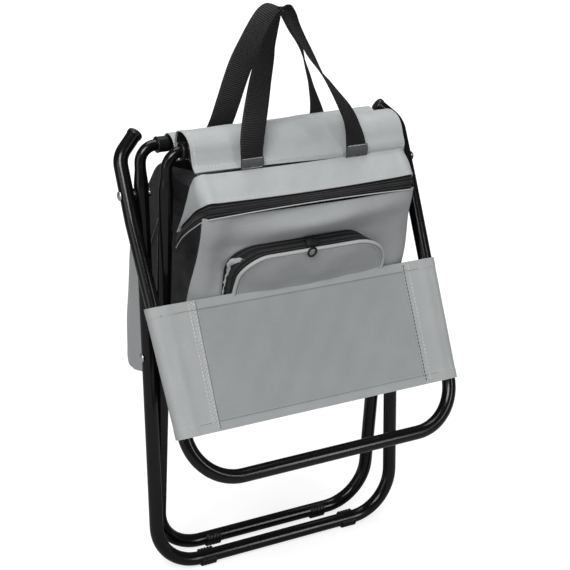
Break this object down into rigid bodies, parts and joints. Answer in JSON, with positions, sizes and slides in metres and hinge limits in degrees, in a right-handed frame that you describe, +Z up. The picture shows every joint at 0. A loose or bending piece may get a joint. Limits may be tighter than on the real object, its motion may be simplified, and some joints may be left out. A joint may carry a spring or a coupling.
{
  "type": "folding cooler stool",
  "caption": "Folding cooler stool, folded: crossed steel tube legs, swing-up backrest band, zipped insulated bag under the seat and webbing handles.",
  "frame": {"origin": "centre of the footprint of the folded stool, on the floor under its foot pads", "axes": "+Z up, -Y towards the front where the backrest band hangs, +X to the right seen from the front"},
  "size_m": [0.3758, 0.2836, 0.6631],
  "materials": {
    "black_steel": "gloss powder coat",
    "rivet_steel": "satin",
    "black_plastic": "matte",
    "grey_cloth": "coated woven polyester",
    "dark_grey_cloth": "coated woven polyester",
    "charcoal_cloth": "coated woven polyester",
    "black_webbing": "ribbed webbing",
    "zip_tape": "coil zip",
    "piping": "satin",
    "foil": "aluminised film"
  },
  "bodies": {
    "pivot_and_bag": {"pivot_rivet_left": "rivet_steel", "pivot_rivet_right": "rivet_steel", "pivot_washer_left": "black_plastic", "pivot_washer_right": "black_plastic", "bag_front": "grey_cloth", "bag_rear": "grey_cloth", "bag_gusset_left": "charcoal_cloth", "bag_gusset_right": "charcoal_cloth", "bag_base": "grey_cloth", "foil_liner": "foil", "pocket_face": "grey_cloth", "pocket_piping": "piping", "pocket_zip_tape": "zip_tape", "seat_fold": "grey_cloth"},
    "outer_frame": {"outer_leg_frame": "black_steel", "rear_seat_bar": "black_steel", "rear_bar_bush_left": "black_plastic", "rear_bar_bush_right": "black_plastic", "backrest_rivet_left": "rivet_steel", "backrest_rivet_right": "rivet_steel", "backrest_washer_left": "black_plastic", "backrest_washer_right": "black_plastic", "outer_foot_left": "black_plastic", "outer_foot_right": "black_plastic", "seat_sleeve_rear": "grey_cloth", "rear_handle_patch_left": "charcoal_cloth", "rear_handle_patch_right": "charcoal_cloth"},
    "inner_frame": {"inner_leg_frame": "black_steel", "front_seat_bar": "black_steel", "front_bar_bush_left": "black_plastic", "front_bar_bush_right": "black_plastic", "inner_foot_left": "black_plastic", "inner_foot_right": "black_plastic", "seat_sleeve_front": "grey_cloth", "front_handle_patch_left": "charcoal_cloth", "front_handle_patch_right": "charcoal_cloth", "bag_cover": "grey_cloth", "main_zip_tape": "zip_tape"},
    "backrest": {"backrest_frame": "black_steel", "backrest_cap_left": "black_plastic", "backrest_cap_right": "black_plastic", "backrest_band_centre": "dark_grey_cloth", "backrest_band_sleeve_left": "grey_cloth", "backrest_band_sleeve_right": "grey_cloth"},
    "front_handle": {"front_handle": "black_webbing"},
    "rear_handle": {"rear_handle": "black_webbing"},
    "main_zip": {"main_zip_slider": "black_plastic", "main_zip_pull": "black_plastic"},
    "pocket_zip": {"pocket_zip_slider": "black_plastic", "pocket_zip_ring": "black_plastic"}
  },
  "joints": [
    {"name": "unfold", "type": "hinge", "parent": "pivot_and_bag", "child": "outer_frame", "pos_m": [0, -0.00168, 0.27645], "axis": [-1, 0, 0], "range_deg": [0, 34], "deforming": ["seat_fold", "bag_cover", "main_zip_tape", "backrest_band_centre", "backrest_band_sleeve_left", "backrest_band_sleeve_right", "front_handle", "rear_handle"]},
    {"name": "inner_frame_fold", "type": "hinge", "parent": "pivot_and_bag", "child": "inner_frame", "pos_m": [0, -0.00168, 0.27645], "axis": [1, 0, 0], "range_deg": [0, 34]},
    {"name": "backrest_swing", "type": "hinge", "parent": "outer_frame", "child": "backrest", "pos_m": [0, 0.01143, 0.46399], "axis": [-1, 0, 0], "range_deg": [0, 140]},
    {"name": "front_handle_fold", "type": "hinge", "parent": "inner_frame", "child": "front_handle", "pos_m": [0, -0.06168, 0.51395], "axis": [1, 0, 0], "range_deg": [0, 160]},
    {"name": "rear_handle_fold", "type": "hinge", "parent": "outer_frame", "child": "rear_handle", "pos_m": [0, 0.03292, 0.50445], "axis": [-1, 0, 0], "range_deg": [0, 138]},
    {"name": "main_zip_slide", "type": "slide", "parent": "inner_frame", "child": "main_zip", "axis": [0, -0.8166, 0.5772], "range_m": [0, 0.038]},
    {"name": "pocket_zip_slide", "type": "slide", "parent": "pivot_and_bag", "child": "pocket_zip", "axis": [-1, 0, 0], "range_m": [-0.066, 0.038]}
  ],
  "couplings": [
    {"joint": "inner_frame_fold", "follows": "unfold", "ratio": 1},
    {"joint": "backrest_swing", "follows": "unfold", "ratio": 4.1176}
  ]
}
